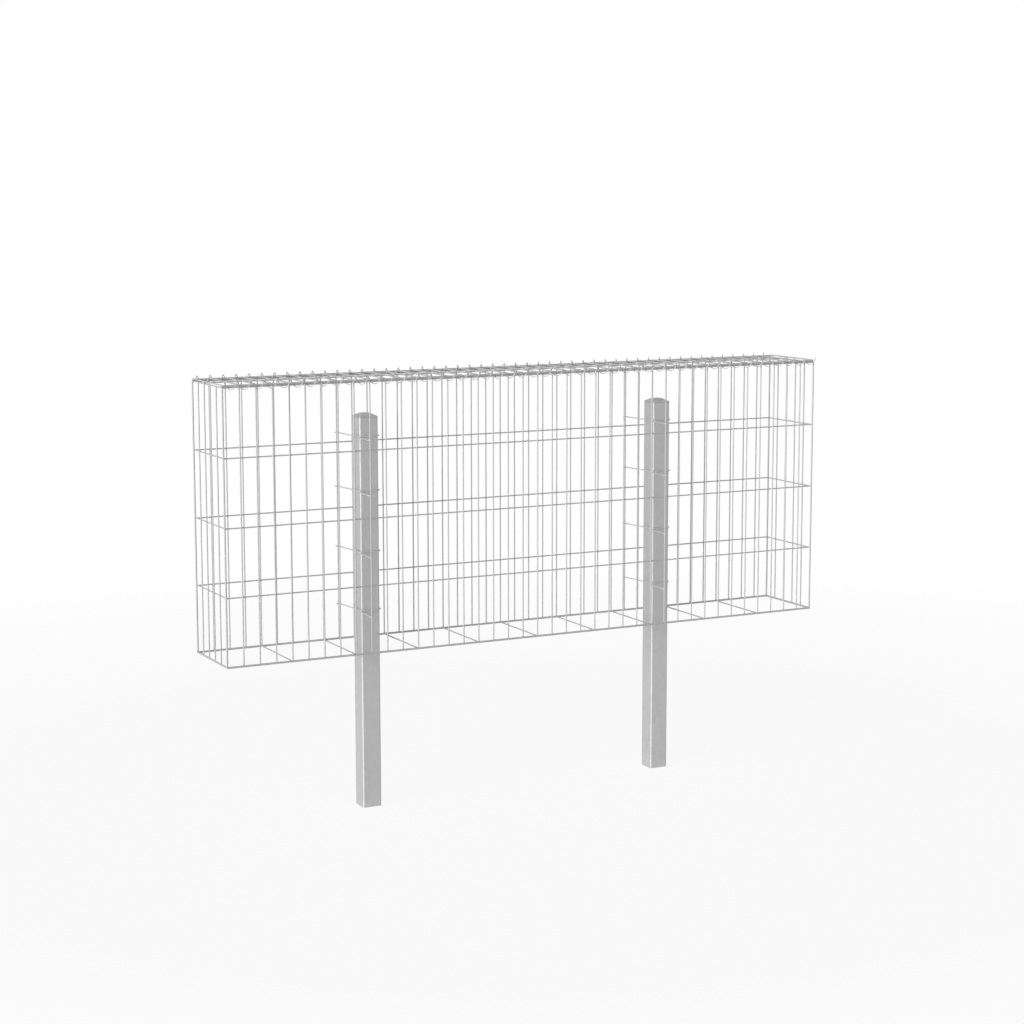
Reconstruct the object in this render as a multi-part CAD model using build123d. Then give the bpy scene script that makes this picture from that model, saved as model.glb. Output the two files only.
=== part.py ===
from build123d import *
import math
import os

os.makedirs("parts", exist_ok=True)

# Wire-mesh gabion wall basket on two square tube posts, in millimetres.
# The origin is the centre of the left post's foot.
# +X runs along the wall, +Y to its back and +Z up.

# Basket, measured between wire centres
basket_length = 2000.0
basket_depth = 250.0
basket_height = 800.0

# Welded mesh: uprights outside, courses inside
mesh_wire = 4.0
upright_pitch = 50.0
course_pitch = 200.0

# Thicker wires round the bottom and along the lid's long edges
edge_wire = 6.0

# Lacing spirals along the two long top edges
spiral_wire = 2.7
spiral_radius = 11.0
spiral_pitch_share = 0.8
spiral_steps = 6
spiral_lead = 6.0
spiral_tail = 9.0
front_bottom_share = 0.5
back_bottom_share = 0.7

# Posts: square tubes that stand inside the basket and run on below it
post_width = 60.0
post_wall = 2.0
post_corner_radius = 5.0
post_length = 1185.0
post_bury = 500.0
post_spacing = 1007.0
post_end_distance = 496.5
post_setback = 145.0

# Push-in caps on the posts
cap_rim = 3.0
cap_rise = 8.0
cap_flat_share = 0.4
cap_plug_depth = 14.0
cap_plug_wall = 3.0
cap_clearance = 0.2

# Stirrups round the posts, and the ties from them to the front panel
tie_wire = 4.0
tie_level_shares = (0.156, 0.413, 0.680, 0.917)
stirrup_hook_tip = 6.0
tie_hook_tip = 3.0
tie_hook_lead = 12.0
stirrup_clearance = 0.5

# Round wires are drawn as square bars of the same section area
square_per_round = math.sqrt(math.pi) / 2
mesh_bar = mesh_wire * square_per_round
edge_bar = edge_wire * square_per_round
spiral_bar = spiral_wire * square_per_round
tie_bar = tie_wire * square_per_round

# Places that follow from the sizes above
left_x = -post_end_distance
right_x = left_x + basket_length
front_y = -post_setback
back_y = front_y + basket_depth
base_z = post_bury
top_z = base_z + basket_height
lid_z = top_z + (mesh_bar + edge_bar) / 2
hook_offset = (mesh_bar + tie_bar) / 2


def spread(length, pitch):
    """Even places from 0 to length, as close to the pitch as whole bays allow."""
    bays = max(1, round(length / pitch))
    return [length * index / bays for index in range(bays + 1)]


uprights = spread(basket_length, upright_pitch)
end_uprights = spread(basket_depth, upright_pitch)
courses = spread(basket_height, course_pitch)
bottom_crosses = spread(basket_length, course_pitch)
upright_step = uprights[1]


def stay_bars(places, low, high):
    """Mesh bars along Y at the given X places, in the plane's own layer."""
    length = high - low
    return [Pos(x, (low + high) / 2, 0) * Box(mesh_bar, length, mesh_bar) for x in places]


def run_bars(places, low, high):
    """Mesh bars along X at the given Y places, in the layer under the stays."""
    length = high - low
    return [Pos((low + high) / 2, y, -mesh_bar) * Box(length, mesh_bar, mesh_bar) for y in places]


def edge_bars(places, low, high):
    """Thicker bars along X at the given Y places, in the plane's own layer."""
    length = high - low
    return [Pos((low + high) / 2, y, 0) * Box(length, edge_bar, edge_bar) for y in places]


def fused(bars):
    """Bars joined to one solid where they meet."""
    return bars[0].fuse(*bars[1:])


def wall_bars(places, run_low, run_high):
    """Uprights that stand on an edge wire, and courses one bar behind them."""
    stays = stay_bars(places, edge_bar / 2, basket_height + mesh_bar / 2)
    return stays + run_bars(courses[1:], run_low, run_high)


def long_panel(plane):
    """Front or back panel, whose outermost uprights are the corners of the basket."""
    half = mesh_bar / 2
    return plane * fused(wall_bars(uprights, -half, basket_length + half))


def end_panel(plane):
    """End panel between the corner uprights, with courses that butt on those of the long panels."""
    butt = 1.5 * mesh_bar
    foot = edge_bars((0,), edge_bar / 2, basket_depth - edge_bar / 2)
    return plane * fused(foot + wall_bars(end_uprights[1:-1], butt, basket_depth - butt))


def flat_plane(z):
    """Plane that faces down, with its corner at the back left of the basket."""
    return Plane(origin=(left_x, back_y, z), x_dir=(1, 0, 0), z_dir=(0, 0, -1))


def lid_panel():
    """Cross wires between two long edge wires that lie on the top courses."""
    half = mesh_bar / 2
    near = mesh_bar
    far = basket_depth - mesh_bar
    bars = edge_bars((near, far), -half, basket_length + half) + stay_bars(uprights, near, far)
    return flat_plane(lid_z) * fused(bars)


def bottom_edge_wires():
    """Long wires under the front and back uprights."""
    half = edge_bar / 2
    bars = edge_bars((0, basket_depth), -half, basket_length + half)
    return Compound([flat_plane(base_z) * bar for bar in bars])


def bottom_cross_wires():
    """Cross wires between the two long bottom wires, each a bar of its own."""
    bars = stay_bars(bottom_crosses[1:-1], edge_bar / 2, basket_depth - edge_bar / 2)
    return Compound([flat_plane(base_z) * bar for bar in bars])


def mitred_wire(points, bar, side):
    """Square bar along straight pieces, mitred where two meet; side points to one of its faces."""
    directions = [(end - start).normalized() for start, end in zip(points, points[1:])]
    first = Plane(origin=points[0], x_dir=side, z_dir=directions[0])
    half = bar / 2
    ring = [first.from_local_coords((x * half, y * half, 0)) for x, y in ((1, 1), (-1, 1), (-1, -1), (1, -1))]
    rings = [ring]
    for place, before, after in zip(points[1:], directions, directions[1:] + directions[-1:]):
        mitre = before + after
        ring = [corner + before * ((place - corner).dot(mitre) / before.dot(mitre)) for corner in ring]
        rings.append(ring)
    faces = [Face(Wire.make_polygon(end)) for end in (rings[0], rings[-1])]
    for near, far in zip(rings, rings[1:]):
        for index in range(len(near)):
            faces.append(Face(Wire.make_polygon([near[index - 1], near[index], far[index], far[index - 1]])))
    return Solid(Shell(faces))


def spiral(axis_y, bottom_share):
    """Left-handed coil whose axis lies where the uprights' plane meets the lid's cross wires.

    The coil dips through the wall mesh at its bottom and through the lid at its inner side.
    Its pitch and phase follow the uprights, so both crossings fall between wires.
    """
    pitch = upright_step * spiral_pitch_share
    bottom = upright_step * bottom_share
    corner_radius = 2 * spiral_radius / (1 + math.cos(math.pi / spiral_steps))
    step = pitch / spiral_steps
    count = math.floor((basket_length + spiral_tail - spiral_lead) / step)
    points = []
    for index in range(count + 1):
        x = spiral_lead + index * step
        turn = 2 * math.pi * (x - bottom) / pitch
        y = axis_y - corner_radius * math.sin(turn)
        z = lid_z - corner_radius * math.cos(turn)
        points.append(Vector(left_x + x, y, z))
    start = points[0] - Vector(points[0].X, axis_y, lid_z)
    return mitred_wire(points, spiral_bar, start)


def post():
    """Square tube with rounded edges, open at its foot."""
    inner = post_width - 2 * post_wall
    outline = RectangleRounded(post_width, post_width, post_corner_radius)
    bore = RectangleRounded(inner, inner, post_corner_radius - post_wall)
    return extrude(outline - bore, post_length - cap_rim)


def post_cap():
    """Cap with a low hipped top, and a hollow plug that goes into the tube."""
    plug = post_width - 2 * (post_wall + cap_clearance)
    hollow = plug - 2 * cap_plug_wall
    lean = math.degrees(math.atan2(post_width * (1 - cap_flat_share) / 2, cap_rise))
    outline = RectangleRounded(post_width, post_width, post_corner_radius)
    hip = extrude(Pos(0, 0, cap_rim) * Rectangle(post_width, post_width), cap_rise, taper=lean)
    crown = extrude(outline, cap_rim + cap_rise) & hip
    skirt = RectangleRounded(plug, plug, post_corner_radius - post_wall - cap_clearance)
    plug_wall = extrude(skirt - Rectangle(hollow, hollow), -cap_plug_depth)
    cap = extrude(outline, cap_rim) + crown + plug_wall
    return Pos(0, 0, post_length - cap_rim) * cap


def hook_uprights(post_x):
    """The nearest uprights that leave room for a stirrup's legs on the two sides of a post."""
    reach = post_width / 2 + stirrup_clearance + tie_bar / 2 + hook_offset
    left = math.floor((post_x - reach - left_x) / upright_step)
    right = math.ceil((post_x + reach - left_x) / upright_step)
    return left_x + left * upright_step, left_x + right * upright_step


def stirrup_corner(post_x, side):
    """Where a stirrup turns at the post's front corner; side is -1 for left and 1 for right."""
    x = post_x + side * (post_width / 2 + stirrup_clearance + tie_bar / 2)
    y = -post_width / 2 - tie_bar / 2
    return x, y


def stirrup(post_x, z):
    """Wire bent round the post's front face and hooked on two uprights of the back panel."""
    left_upright, right_upright = hook_uprights(post_x)
    route = []
    for side, upright in ((-1, left_upright), (1, right_upright)):
        inner = upright - side * hook_offset
        leg = [
            (upright + side * stirrup_hook_tip, back_y + hook_offset),
            (inner, back_y + hook_offset),
            (inner, back_y - tie_hook_lead),
            stirrup_corner(post_x, side),
        ]
        route += leg if side < 0 else reversed(leg)
    return mitred_wire([Vector(x, y, z) for x, y in route], tie_bar, Vector(0, 0, 1))


def front_tie(post_x, z):
    """Wire from under the stirrup's left corner to a hook on an upright of the front panel."""
    upright = hook_uprights(post_x)[0]
    outer = upright - hook_offset
    route = [
        stirrup_corner(post_x, -1),
        (outer, front_y + tie_hook_lead),
        (outer, front_y - hook_offset),
        (upright + tie_hook_tip, front_y - hook_offset),
    ]
    return mitred_wire([Vector(x, y, z - tie_bar) for x, y in route], tie_bar, Vector(0, 0, 1))


nodes = {
    "front_panel": long_panel(Plane(origin=(left_x, front_y, base_z), x_dir=(1, 0, 0), z_dir=(0, -1, 0))),
    "back_panel": long_panel(Plane(origin=(right_x, back_y, base_z), x_dir=(-1, 0, 0), z_dir=(0, 1, 0))),
    "left_end_panel": end_panel(Plane(origin=(left_x, back_y, base_z), x_dir=(0, -1, 0), z_dir=(-1, 0, 0))),
    "right_end_panel": end_panel(Plane(origin=(right_x, front_y, base_z), x_dir=(0, 1, 0), z_dir=(1, 0, 0))),
    "lid_panel": lid_panel(),
    "bottom_cross_wires": bottom_cross_wires(),
    "bottom_edge_wires": bottom_edge_wires(),
    "front_spiral": spiral(front_y, front_bottom_share),
    "back_spiral": spiral(back_y, back_bottom_share),
}

for name, post_x in (("left", 0), ("right", post_spacing)):
    nodes[f"{name}_post"] = Pos(post_x, 0, 0) * post()
    nodes[f"{name}_post_cap"] = Pos(post_x, 0, 0) * post_cap()
    for number, share in enumerate(tie_level_shares, start=1):
        level = base_z + (post_length - post_bury) * share
        nodes[f"{name}_stirrup_{number}"] = stirrup(post_x, level)
        nodes[f"{name}_front_tie_{number}"] = front_tie(post_x, level)

for name, shape in nodes.items():
    export_step(shape, f"parts/{name}.step")
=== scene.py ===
import math

import bpy
from mathutils import Matrix, Vector


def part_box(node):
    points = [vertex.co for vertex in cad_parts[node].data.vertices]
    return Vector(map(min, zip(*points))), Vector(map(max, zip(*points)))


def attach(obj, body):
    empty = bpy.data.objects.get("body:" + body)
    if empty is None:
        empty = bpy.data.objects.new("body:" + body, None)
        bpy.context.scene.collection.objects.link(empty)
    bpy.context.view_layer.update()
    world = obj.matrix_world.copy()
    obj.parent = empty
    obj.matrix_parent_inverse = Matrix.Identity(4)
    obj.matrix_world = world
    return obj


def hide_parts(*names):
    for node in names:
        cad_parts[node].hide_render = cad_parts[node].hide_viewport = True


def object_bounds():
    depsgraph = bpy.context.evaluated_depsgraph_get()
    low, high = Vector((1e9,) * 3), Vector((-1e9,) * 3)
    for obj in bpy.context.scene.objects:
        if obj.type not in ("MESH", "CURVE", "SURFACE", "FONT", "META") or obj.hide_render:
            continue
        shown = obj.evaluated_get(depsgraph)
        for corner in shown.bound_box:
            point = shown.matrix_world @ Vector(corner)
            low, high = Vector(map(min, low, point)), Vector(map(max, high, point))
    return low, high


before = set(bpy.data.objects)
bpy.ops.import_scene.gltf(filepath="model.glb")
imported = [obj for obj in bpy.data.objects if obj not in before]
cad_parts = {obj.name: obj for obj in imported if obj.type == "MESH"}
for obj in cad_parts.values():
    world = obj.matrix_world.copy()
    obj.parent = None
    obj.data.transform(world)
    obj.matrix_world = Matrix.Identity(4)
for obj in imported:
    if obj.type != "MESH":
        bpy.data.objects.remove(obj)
cad_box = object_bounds()

# Wire-mesh gabion wall basket on two square tube posts: its looks, in metres.
# +X runs along the wall, +Y to its back and +Z up.

# Wires
MESH_RADIUS = 0.0020
CORNER_RADIUS = 0.0026
EDGE_RADIUS = 0.0030
SPIRAL_RADIUS = 0.00135
TIE_RADIUS = 0.0020
HOOK_OFFSET = MESH_RADIUS + TIE_RADIUS
WIRE_SIDES = 12
END_EASE_SHARE = 0.35
SHARP_ANGLE = math.radians(50)

# Mesh layout
UPRIGHT_PITCH = 0.050
COURSE_PITCH = 0.200
WELD_WIDTH_SHARE = 1.25
WELD_DEPTH_SHARE = 0.75
WELD_SEGMENTS = 8
WELD_RINGS = 5
LID_CROSS_LIFT = 0.0025
LID_WIRE_BAYS = 3

# Lacing spirals; a bottom share says where between two uprights the first loop hangs lowest
COIL_RADIUS = 0.0110
COIL_PITCH_SHARE = 0.8
FRONT_BOTTOM_SHARE = 0.518
BACK_BOTTOM_SHARE = 0.682
COIL_STEPS = 24
COIL_SIDES = 10

# Bent ties
TIE_LEVELS = 4
STIRRUP_TIP = 0.006
FRONT_TIP = 0.003
FRONT_TIE_RISE = 0.005
HOOK_LEAD = 0.012
BEND_RADIUS = 0.008
BEND_LIMIT_SHARE = 0.48
BEND_STEPS = 8

# Post caps
CAP_RIM = 0.0050
CAP_TOP_RISE = 0.0025
CAP_EASE = 0.0006
CAP_FLAT_SHARE = 0.4
CAP_CORNER = 0.005
CAP_CORNER_STEPS = 6
PLUG_INSET = 0.0022
PLUG_WALL = 0.003

# Hot-dip zinc: greys, gloss and pattern; scales are cells per metre. The spirals and ties are the mesh's
# zinc, and their lighter greys are painted light.
MESH_GREYS = (0.465, 0.505)
# Lighter than the mesh's greys: painted light, standing in for light falling on the coils' tops
SPIRAL_GREYS_WITH_PAINTED_LIGHT = (0.50, 0.58)
# Lighter still: painted light, standing in for the key light on the ties' sides
TIE_GREYS_WITH_PAINTED_LIGHT = (0.54, 0.62)
POST_GREYS = (0.490, 0.530)
MESH_METALLIC = 0.2
SPIRAL_METALLIC = 0.3
TIE_METALLIC = 0.3
POST_METALLIC = 0.6
WIRE_ROUGHNESS = (0.40, 0.58)
POST_ROUGHNESS = (0.46, 0.56)
WIRE_SPANGLE_SCALE = 260.0
POST_SPANGLE_SCALE = 90.0
SPANGLES_PER_CLOUD = 6
GRAINS_PER_SPANGLE = 12
SPANGLE_SHARE = 0.45
ZINC_TONE_SPAN = (0.25, 0.75)
ZINC_GRAIN_DETAIL = 6.0
ZINC_BUMP_STRENGTH = 0.12
ZINC_BUMP_DISTANCE = 0.0004
CLOUD_DETAIL = 4.0

# Cap plastic
CAP_GREYS = (0.40, 0.46)
CAP_METALLIC = 0.8
CAP_ROUGHNESS = 0.45
CAP_CLOUD_SCALE = 40.0
CAP_TONE_SPAN = (0.3, 0.7)
CAP_GRAIN_SCALE = 1800.0
CAP_GRAIN_DETAIL = 2.0
CAP_BUMP_STRENGTH = 0.2
CAP_BUMP_DISTANCE = 0.0002

# Camera, from the basket's front left bottom wire corner
IMAGE_SIZE = 1024
FOCAL_PIXELS = 2264.8
PRINCIPAL_POINT = (530.0, 508.5)
CAMERA_OFFSET = Vector((-2.1748, -6.0037, 1.3650))
CAMERA_AZIMUTH = math.radians(27.675)
CAMERA_ELEVATION = math.radians(8.144)
SENSOR_WIDTH = 36.0

# Stage
FLOOR_HALF = 40.0
FLOOR_GREY = 0.85
FLOOR_GLOW_SHARE = 0.92
FADE_START = 1.8
FADE_END = 4.5
KEY_DIRECTION = Vector((-0.90, -0.42, 0.15)).normalized()
KEY_ANGLE = math.radians(36)
KEY_STRENGTH = 4.0
WORLD_STRENGTH = 0.22

# Places read from the frame
front_low, front_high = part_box("front_panel")
back_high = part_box("back_panel")[1]
lid_low, lid_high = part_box("lid_panel")
edge_low, edge_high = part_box("bottom_edge_wires")
bar = (front_high.y - front_low.y) / 2
edge_half = (edge_high.z - edge_low.z) / 2
left_x = front_low.x + bar / 2
right_x = front_high.x - bar / 2
front_y = front_low.y + bar / 2
back_y = back_high.y - bar / 2
base_z = edge_low.z + edge_half
top_z = front_high.z - bar / 2
coil_z = (lid_low.z + lid_high.z) / 2
lid_z = top_z + MESH_RADIUS + EDGE_RADIUS
floor_z = cad_box[0][2]


def spread(low, high, pitch):
    """Even places from low to high, as close to the pitch as whole bays allow."""
    bays = max(1, round((high - low) / pitch))
    return [low + (high - low) * index / bays for index in range(bays + 1)]


class Surface:
    """Gathers rings of points into skins, and makes one mesh object of them."""

    def __init__(self):
        self.points = []
        self.faces = []

    def skin(self, rings):
        """A closed skin over rings of equal length."""
        numbers = []
        for ring in rings:
            first = len(self.points)
            self.points += ring
            numbers.append(range(first, first + len(ring)))
        for near, far in zip(numbers, numbers[1:]):
            for index in range(len(near)):
                self.faces.append((near[index - 1], near[index], far[index], far[index - 1]))
        self.faces.append(tuple(numbers[0]))
        self.faces.append(tuple(reversed(numbers[-1])))

    def wire(self, path, radius, sides=WIRE_SIDES):
        """A round wire along a path, with eased cut ends.

        A second full ring beside each ease keeps its shading off the long faces.
        """
        ease = radius * END_EASE_SHARE
        places = [Vector(point) for point in path]
        start = (places[1] - places[0]).normalized() * ease
        end = (places[-1] - places[-2]).normalized() * ease
        first = places[0]
        last = places[-1]
        stops = [(first, radius - ease), (first + start, radius), (first + 2 * start, radius)]
        stops += [(place, radius) for place in places[1:-1]]
        stops += [(last - 2 * end, radius), (last - end, radius), (last, radius - ease)]
        across = start.orthogonal().normalized()
        rings = []
        for index, (centre, size) in enumerate(stops):
            before = stops[max(index - 1, 0)][0]
            after = stops[min(index + 1, len(stops) - 1)][0]
            along = (after - before).normalized()
            across = (across - along * across.dot(along)).normalized()
            rings.append(circle(centre, across, along.cross(across), size, sides))
        self.skin(rings)

    def weld(self, centre, normal, radius):
        """A flattened bead where two wires meet; normal points from one to the other."""
        width = radius * WELD_WIDTH_SHARE
        depth = radius * WELD_DEPTH_SHARE
        along = Vector(normal).normalized()
        across = along.orthogonal().normalized()
        rings = []
        for index in range(1, WELD_RINGS):
            angle = math.pi * index / WELD_RINGS
            level = Vector(centre) - along * (depth * math.cos(angle))
            rings.append(circle(level, across, along.cross(across), width * math.sin(angle), WELD_SEGMENTS))
        self.skin(rings)

    def piece(self, name, material, nodes):
        """The finished piece, which stands for the named nodes."""
        mesh = bpy.data.meshes.new(name)
        mesh.from_pydata(self.points, [], self.faces)
        mesh.validate()
        mesh.shade_smooth()
        mesh.set_sharp_from_angle(angle=SHARP_ANGLE)
        mesh.materials.append(material)
        made = bpy.data.objects.new(name, mesh)
        bpy.context.scene.collection.objects.link(made)
        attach(made, "root")
        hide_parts(*nodes)


def circle(centre, across, up, radius, sides):
    """Points round a circle."""
    angles = [2 * math.pi * index / sides for index in range(sides)]
    return [centre + across * (radius * math.cos(a)) + up * (radius * math.sin(a)) for a in angles]


def rounded_square(centre, half, corner):
    """Points round a level square with rounded corners."""
    ring = []
    for quarter in range(4):
        for step in range(CAP_CORNER_STEPS + 1):
            angle = math.pi / 2 * (quarter + step / CAP_CORNER_STEPS)
            side_x = 1 if quarter in (0, 3) else -1
            side_y = 1 if quarter in (0, 1) else -1
            x = side_x * (half - corner) + corner * math.cos(angle)
            y = side_y * (half - corner) + corner * math.sin(angle)
            ring.append(centre + Vector((x, y, 0)))
    return ring


def new_material(name):
    """A new material; returns it with its nodes, links and shader."""
    material = bpy.data.materials.new(name)
    material.use_nodes = True
    tree = material.node_tree
    return material, tree.nodes, tree.links, tree.nodes["Principled BSDF"]


def paint(nodes, links, shader, factor, greys, span):
    """Colour a shader by a ramp between two greys, over a span of the factor."""
    ramp = nodes.new("ShaderNodeValToRGB")
    for stop, grey, position in zip(ramp.color_ramp.elements, greys, span):
        stop.position = position
        stop.color = (grey, grey, grey, 1)
    links.new(factor, ramp.inputs["Fac"])
    links.new(ramp.outputs["Color"], shader.inputs["Base Color"])


def noise(nodes, links, place, scale, detail):
    """The level of a noise at a place."""
    node = nodes.new("ShaderNodeTexNoise")
    node.inputs["Scale"].default_value = scale
    node.inputs["Detail"].default_value = detail
    links.new(place, node.inputs["Vector"])
    return node.outputs["Fac"]


def add_bump(nodes, links, shader, height, strength, distance):
    """Fine relief on a shader."""
    bump = nodes.new("ShaderNodeBump")
    bump.inputs["Strength"].default_value = strength
    bump.inputs["Distance"].default_value = distance
    links.new(height, bump.inputs["Height"])
    links.new(bump.outputs["Normal"], shader.inputs["Normal"])


def spangles(nodes, links, place, scale):
    """The level of crystal cells mixed with wider clouds."""
    cells = nodes.new("ShaderNodeTexVoronoi")
    cells.inputs["Scale"].default_value = scale
    links.new(place, cells.inputs["Vector"])
    levels = nodes.new("ShaderNodeSeparateColor")
    links.new(cells.outputs["Color"], levels.inputs["Color"])
    mixed = nodes.new("ShaderNodeMix")
    mixed.inputs["Factor"].default_value = SPANGLE_SHARE
    links.new(noise(nodes, links, place, scale / SPANGLES_PER_CLOUD, CLOUD_DETAIL), mixed.inputs["A"])
    links.new(levels.outputs["Red"], mixed.inputs["B"])
    return mixed.outputs["Result"]


def zinc(name, greys, metallic, roughness, scale):
    """Hot-dip zinc: spangle cells, cloudy tone, uneven gloss and a fine grain."""
    material, nodes, links, shader = new_material(name)
    place = nodes.new("ShaderNodeTexCoord").outputs["Object"]
    level = spangles(nodes, links, place, scale)
    paint(nodes, links, shader, level, greys, ZINC_TONE_SPAN)
    gloss = nodes.new("ShaderNodeMapRange")
    gloss.inputs["To Min"].default_value = roughness[0]
    gloss.inputs["To Max"].default_value = roughness[1]
    links.new(level, gloss.inputs["Value"])
    links.new(gloss.outputs["Result"], shader.inputs["Roughness"])
    grain = noise(nodes, links, place, scale * GRAINS_PER_SPANGLE, ZINC_GRAIN_DETAIL)
    add_bump(nodes, links, shader, grain, ZINC_BUMP_STRENGTH, ZINC_BUMP_DISTANCE)
    shader.inputs["Metallic"].default_value = metallic
    return material


def moulded(name, greys):
    """Moulded plastic with a metallic pigment and a fine grain."""
    material, nodes, links, shader = new_material(name)
    place = nodes.new("ShaderNodeTexCoord").outputs["Object"]
    cloud = noise(nodes, links, place, CAP_CLOUD_SCALE, CLOUD_DETAIL)
    paint(nodes, links, shader, cloud, greys, CAP_TONE_SPAN)
    grain = noise(nodes, links, place, CAP_GRAIN_SCALE, CAP_GRAIN_DETAIL)
    add_bump(nodes, links, shader, grain, CAP_BUMP_STRENGTH, CAP_BUMP_DISTANCE)
    shader.inputs["Roughness"].default_value = CAP_ROUGHNESS
    shader.inputs["Metallic"].default_value = CAP_METALLIC
    return material


mesh_zinc = zinc("mesh_zinc", MESH_GREYS, MESH_METALLIC, WIRE_ROUGHNESS, WIRE_SPANGLE_SCALE)
# The spirals' zinc is the mesh's zinc made lighter: painted light
spiral_zinc_painted_light = zinc("spiral_zinc_painted_light", SPIRAL_GREYS_WITH_PAINTED_LIGHT, SPIRAL_METALLIC, WIRE_ROUGHNESS, WIRE_SPANGLE_SCALE)
# The ties' zinc is the mesh's zinc made lighter: painted light
tie_zinc_painted_light = zinc("tie_zinc_painted_light", TIE_GREYS_WITH_PAINTED_LIGHT, TIE_METALLIC, WIRE_ROUGHNESS, WIRE_SPANGLE_SCALE)
post_zinc = zinc("post_zinc", POST_GREYS, POST_METALLIC, POST_ROUGHNESS, POST_SPANGLE_SCALE)
cap_plastic = moulded("cap_plastic", CAP_GREYS)


def wall_panel(surface, place, uprights, corners, run):
    """Uprights that stand on an edge wire, and courses behind them.

    The place function turns a distance along the panel, into the basket and up into a point.
    """
    height = top_z - base_z
    for along in uprights:
        radius = CORNER_RADIUS if along in corners else MESH_RADIUS
        surface.wire([place(along, 0, edge_half), place(along, 0, height + bar / 2)], radius)
    for up in spread(0, height, COURSE_PITCH)[1:]:
        surface.wire([place(run[0], bar, up), place(run[1], bar, up)], MESH_RADIUS)
        for along in uprights:
            normal = place(along, bar, up) - place(along, 0, up)
            surface.weld(place(along, bar / 2, up), normal, MESH_RADIUS)


def make_long_panel(node, plane_y, inward):
    """The front or back panel; its outermost uprights are the basket's corners, and look thicker."""
    surface = Surface()
    length = right_x - left_x
    run = (-bar / 2, length + bar / 2)

    def place(along, into, up):
        return Vector((left_x + along, plane_y + inward * into, base_z + up))

    wall_panel(surface, place, spread(0, length, UPRIGHT_PITCH), (0, length), run)
    surface.piece(f"{node}_wires", mesh_zinc, [node])


def make_end_panel(node, plane_x, inward):
    """An end panel between the corner uprights, with a thicker foot wire."""
    surface = Surface()
    depth = back_y - front_y

    def place(along, into, up):
        return Vector((plane_x + inward * into, front_y + along, base_z + up))

    surface.wire([place(edge_half, 0, 0), place(depth - edge_half, 0, 0)], EDGE_RADIUS)
    wall_panel(surface, place, spread(0, depth, UPRIGHT_PITCH)[1:-1], (), (bar, depth - bar))
    surface.piece(f"{node}_wires", mesh_zinc, [node])


def edge_frame(surface, crosses, edges, span, z, lift):
    """Cross wires along Y on two thicker edge wires along X, their middles a lift above the edges'."""
    for y in edges:
        surface.wire([(span[0], y, z), (span[1], y, z)], EDGE_RADIUS)
    for x in crosses:
        surface.wire([(x, edges[0], z + lift), (x, edges[1], z + lift)], MESH_RADIUS)
        surface.weld((x, edges[0] + EDGE_RADIUS, z + lift / 2), (0, 1, 0), MESH_RADIUS)
        surface.weld((x, edges[1] - EDGE_RADIUS, z + lift / 2), (0, 1, 0), MESH_RADIUS)


def make_lid():
    """The lid on the top courses, with one more long wire under its cross wires."""
    surface = Surface()
    crosses = spread(left_x, right_x, UPRIGHT_PITCH)
    span = (lid_low.x, lid_high.x)
    edge_frame(surface, crosses, (front_y + bar, back_y - bar), span, lid_z, LID_CROSS_LIFT)
    long_y = front_y + LID_WIRE_BAYS * UPRIGHT_PITCH
    weld_z = lid_z + LID_CROSS_LIFT - MESH_RADIUS
    long_z = weld_z - MESH_RADIUS
    surface.wire([(span[0], long_y, long_z), (span[1], long_y, long_z)], MESH_RADIUS)
    for x in crosses:
        surface.weld((x, long_y, weld_z), (0, 0, 1), MESH_RADIUS)
    surface.piece("lid_wires", mesh_zinc, ["lid_panel"])


def make_bottom():
    """The two long bottom wires and the cross wires between them."""
    surface = Surface()
    crosses = spread(left_x, right_x, COURSE_PITCH)[1:-1]
    edge_frame(surface, crosses, (front_y, back_y), (edge_low.x, edge_high.x), base_z, 0)
    surface.piece("bottom_wires", mesh_zinc, ["bottom_cross_wires", "bottom_edge_wires"])


def make_spiral(node, axis_y, bottom_share):
    """A left-handed coil along a long top edge, whose loops pass between the wires of wall and lid."""
    low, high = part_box(node)
    start = low.x + SPIRAL_RADIUS
    end = high.x - SPIRAL_RADIUS
    pitch = UPRIGHT_PITCH * COIL_PITCH_SHARE
    bottom = left_x + UPRIGHT_PITCH * bottom_share
    count = math.ceil((end - start) / pitch * COIL_STEPS)
    path = []
    for index in range(count + 1):
        x = start + (end - start) * index / count
        turn = 2 * math.pi * (x - bottom) / pitch
        path.append((x, axis_y - COIL_RADIUS * math.sin(turn), coil_z - COIL_RADIUS * math.cos(turn)))
    surface = Surface()
    surface.wire(path, SPIRAL_RADIUS, COIL_SIDES)
    surface.piece(f"{node}_wire", spiral_zinc_painted_light, [node])


def bent(route):
    """A wire's path along a route, with a bend at each corner."""
    points = [Vector(point) for point in route]
    path = [points[0]]
    for before, corner, after in zip(points, points[1:], points[2:]):
        back = before - corner
        on = after - corner
        reach = BEND_RADIUS / math.tan(back.angle(on) / 2)
        reach = min(reach, BEND_LIMIT_SHARE * back.length, BEND_LIMIT_SHARE * on.length)
        start = corner + back.normalized() * reach
        end = corner + on.normalized() * reach
        for index in range(BEND_STEPS + 1):
            share = index / BEND_STEPS
            path.append(start.lerp(corner, share).lerp(corner.lerp(end, share), share))
    path.append(points[-1])
    return path


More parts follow.
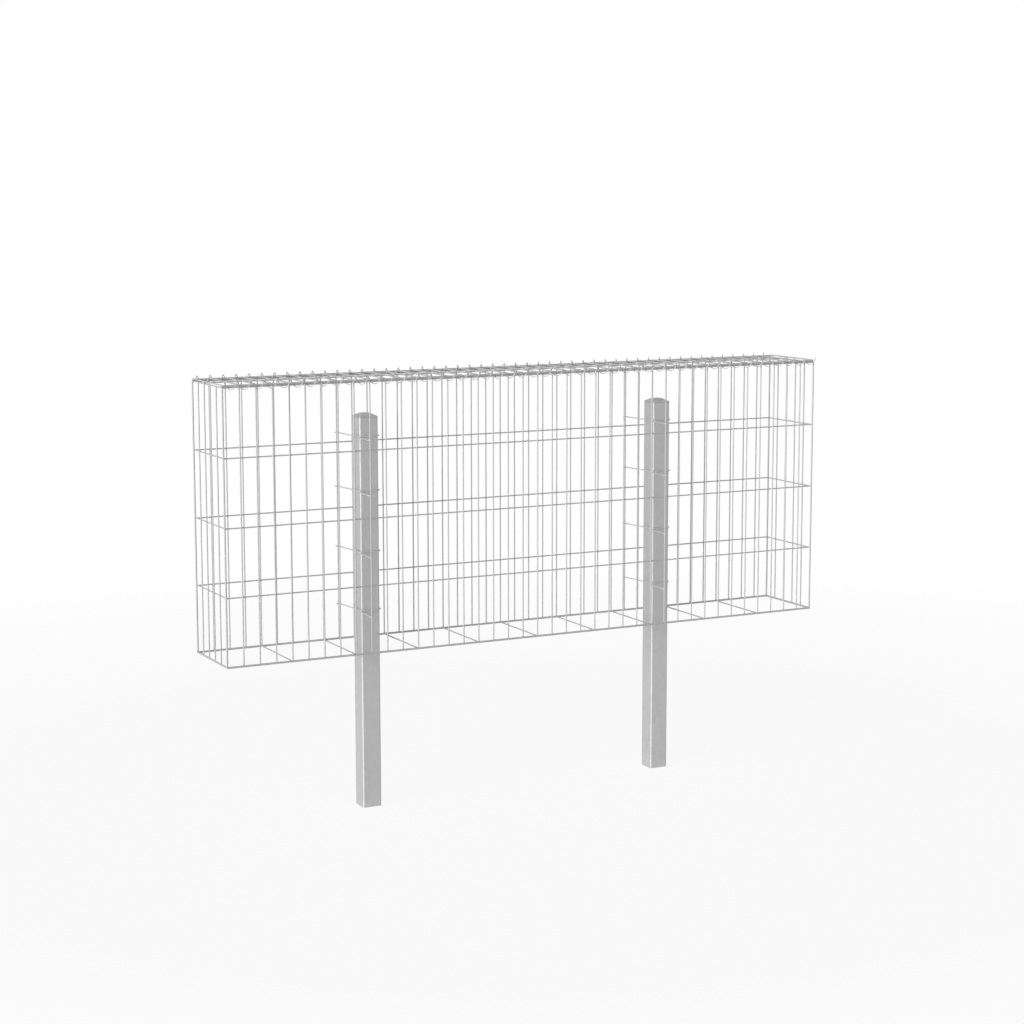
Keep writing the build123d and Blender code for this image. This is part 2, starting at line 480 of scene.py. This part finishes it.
def make_stirrup(node, corners, corner_y):
    """A wire round the post's front that hooks on two uprights of the back panel."""
    low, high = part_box(node)
    z = (low.z + high.z) / 2
    left_inner = low.x + STIRRUP_TIP + HOOK_OFFSET
    right_inner = high.x - STIRRUP_TIP - HOOK_OFFSET
    hook_y = back_y + HOOK_OFFSET
    lead_y = back_y - HOOK_LEAD
    route = [
        (low.x, hook_y, z),
        (left_inner, hook_y, z),
        (left_inner, lead_y, z),
        (corners[0], corner_y, z),
        (corners[1], corner_y, z),
        (right_inner, lead_y, z),
        (right_inner, hook_y, z),
        (high.x, hook_y, z),
    ]
    surface = Surface()
    surface.wire(bent(route), TIE_RADIUS)
    surface.piece(f"{node}_wire", tie_zinc_painted_light, [node])


def make_front_tie(node, corner_x, corner_y):
    """A wire from under the stirrup's left corner, a little up to a hook on a front upright."""
    low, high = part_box(node)
    z = (low.z + high.z) / 2
    hook_z = z + FRONT_TIE_RISE
    hook_y = front_y - HOOK_OFFSET
    # The solid's hook has its middle one bar beside the upright
    upright = low.x + bar / 2 + bar
    outer = upright - HOOK_OFFSET
    route = [
        (corner_x, corner_y, z),
        (outer, front_y + HOOK_LEAD, hook_z),
        (outer, hook_y, hook_z),
        (upright + FRONT_TIP, hook_y, hook_z),
    ]
    surface = Surface()
    surface.wire(bent(route), TIE_RADIUS)
    surface.weld((corner_x, corner_y, z + TIE_RADIUS), (0, 0, 1), TIE_RADIUS)
    surface.piece(f"{node}_wire", tie_zinc_painted_light, [node])


def make_cap(node):
    """A moulded cap: hollow plug, eased rim, and a hipped top with a flat."""
    low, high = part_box(node)
    half = (high.x - low.x) / 2
    centre = Vector(((low.x + high.x) / 2, (low.y + high.y) / 2, 0))
    rim_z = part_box(node.replace("_cap", ""))[1].z
    rim_top = rim_z + CAP_RIM
    top = high.z + CAP_TOP_RISE
    flat = half * CAP_FLAT_SHARE
    flat_corner = CAP_CORNER * CAP_FLAT_SHARE
    plug = half - PLUG_INSET
    plug_corner = CAP_CORNER - PLUG_INSET
    hollow = plug - PLUG_WALL
    levels = [
        (rim_z, hollow, CAP_EASE),
        (low.z, hollow, CAP_EASE),
        (low.z, plug, plug_corner),
        (rim_z, plug, plug_corner),
        (rim_z, half - CAP_EASE, CAP_CORNER),
        (rim_z + CAP_EASE, half, CAP_CORNER),
        (rim_top - CAP_EASE, half, CAP_CORNER),
        (rim_top, half - CAP_EASE, CAP_CORNER),
        (top - CAP_EASE / 2, flat + CAP_EASE, flat_corner),
        (top, flat - 2 * CAP_EASE, flat_corner),
    ]
    surface = Surface()
    surface.skin([rounded_square(centre + Vector((0, 0, z)), size, corner) for z, size, corner in levels])
    surface.piece(f"{node}_moulding", cap_plastic, [node])


def make_posts_and_ties():
    """The tubes keep their solids and get their finish; caps, stirrups and ties go round them."""
    for side in ("left", "right"):
        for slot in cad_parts[f"{side}_post"].material_slots:
            slot.material = post_zinc
        make_cap(f"{side}_post_cap")
        low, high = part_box(f"{side}_post")
        corners = (low.x - TIE_RADIUS, high.x + TIE_RADIUS)
        corner_y = low.y - TIE_RADIUS
        for number in range(1, TIE_LEVELS + 1):
            make_stirrup(f"{side}_stirrup_{number}", corners, corner_y)
            make_front_tie(f"{side}_front_tie_{number}", corners[0], corner_y)


def seen_white(nodes, links):
    """1 for rays that show the background: camera, glossy and transmission rays."""
    path = nodes.new("ShaderNodeLightPath")
    socket = path.outputs["Is Camera Ray"]
    for name in ("Is Glossy Ray", "Is Transmission Ray"):
        larger = nodes.new("ShaderNodeMath")
        larger.operation = "MAXIMUM"
        links.new(socket, larger.inputs[0])
        links.new(path.outputs[name], larger.inputs[1])
        socket = larger.outputs[0]
    return socket


def floor_glow(nodes, links):
    """How much of the floor is plain white: most of it near the wall, and all of it far away."""
    away = nodes.new("ShaderNodeVectorMath")
    away.operation = "DISTANCE"
    away.inputs[1].default_value = ((left_x + right_x) / 2, (front_y + back_y) / 2, floor_z)
    links.new(nodes.new("ShaderNodeTexCoord").outputs["Object"], away.inputs[0])
    fade = nodes.new("ShaderNodeMapRange")
    fade.inputs["From Min"].default_value = FADE_START
    fade.inputs["From Max"].default_value = FADE_END
    fade.inputs["To Min"].default_value = FLOOR_GLOW_SHARE
    links.new(away.outputs["Value"], fade.inputs["Value"])
    share = nodes.new("ShaderNodeMath")
    share.operation = "MULTIPLY"
    links.new(seen_white(nodes, links), share.inputs[0])
    links.new(fade.outputs["Result"], share.inputs[1])
    return share.outputs[0]


def floor_white():
    """White that keeps a faint shadow near the wall."""
    material = bpy.data.materials.new("floor_white")
    material.use_nodes = True
    nodes = material.node_tree.nodes
    links = material.node_tree.links
    nodes.clear()
    diffuse = nodes.new("ShaderNodeBsdfDiffuse")
    diffuse.inputs["Color"].default_value = (FLOOR_GREY, FLOOR_GREY, FLOOR_GREY, 1)
    glow = nodes.new("ShaderNodeEmission")
    blend = nodes.new("ShaderNodeMixShader")
    links.new(floor_glow(nodes, links), blend.inputs[0])
    links.new(diffuse.outputs[0], blend.inputs[1])
    links.new(glow.outputs[0], blend.inputs[2])
    output = nodes.new("ShaderNodeOutputMaterial")
    links.new(blend.outputs[0], output.inputs["Surface"])
    return material


def make_floor():
    """A white floor under the posts' feet."""
    mesh = bpy.data.meshes.new("floor")
    signs = ((-1, -1), (1, -1), (1, 1), (-1, 1))
    corners = [(x * FLOOR_HALF, y * FLOOR_HALF, floor_z) for x, y in signs]
    mesh.from_pydata(corners, [], [(0, 1, 2, 3)])
    mesh.materials.append(floor_white())
    floor = bpy.data.objects.new("floor", mesh)
    bpy.context.scene.collection.objects.link(floor)


def light_scene():
    """An even soft key light from the front left, and a pale world."""
    data = bpy.data.lights.new("key", "SUN")
    data.angle = KEY_ANGLE
    data.energy = KEY_STRENGTH
    key = bpy.data.objects.new("key", data)
    key.rotation_euler = (-KEY_DIRECTION).to_track_quat("-Z", "Y").to_euler()
    bpy.context.scene.collection.objects.link(key)
    world = bpy.data.worlds.new("studio")
    world.use_nodes = True
    nodes = world.node_tree.nodes
    links = world.node_tree.links
    background = nodes["Background"]
    background.inputs["Color"].default_value = (1, 1, 1, 1)
    strength = nodes.new("ShaderNodeMapRange")
    strength.inputs["To Min"].default_value = WORLD_STRENGTH
    links.new(seen_white(nodes, links), strength.inputs["Value"])
    links.new(strength.outputs["Result"], background.inputs["Strength"])
    bpy.context.scene.world = world


def set_camera():
    """The camera at the photograph's angle."""
    sin_a, cos_a = math.sin(CAMERA_AZIMUTH), math.cos(CAMERA_AZIMUTH)
    sin_e, cos_e = math.sin(CAMERA_ELEVATION), math.cos(CAMERA_ELEVATION)
    forward = Vector((sin_a * cos_e, cos_a * cos_e, -sin_e))
    right = Vector((cos_a, -sin_a, 0))
    turn = Matrix((right, right.cross(forward), -forward)).transposed().to_4x4()
    data = bpy.data.cameras.new("camera")
    data.sensor_width = SENSOR_WIDTH
    data.lens = FOCAL_PIXELS * SENSOR_WIDTH / IMAGE_SIZE
    data.shift_x = 0.5 - PRINCIPAL_POINT[0] / IMAGE_SIZE
    data.shift_y = PRINCIPAL_POINT[1] / IMAGE_SIZE - 0.5
    data.clip_end = 2 * FLOOR_HALF
    camera = bpy.data.objects.new("camera", data)
    corner = Vector((left_x, front_y, base_z))
    camera.matrix_world = Matrix.Translation(corner + CAMERA_OFFSET) @ turn
    bpy.context.scene.collection.objects.link(camera)
    bpy.context.scene.camera = camera


make_long_panel("front_panel", front_y, 1)
make_long_panel("back_panel", back_y, -1)
make_end_panel("left_end_panel", left_x, 1)
make_end_panel("right_end_panel", right_x, -1)
make_lid()
make_bottom()
make_spiral("front_spiral", front_y, FRONT_BOTTOM_SHARE)
make_spiral("back_spiral", back_y, BACK_BOTTOM_SHARE)
make_posts_and_ties()
make_floor()
light_scene()
set_camera()
bpy.context.scene.view_settings.view_transform = "Standard"
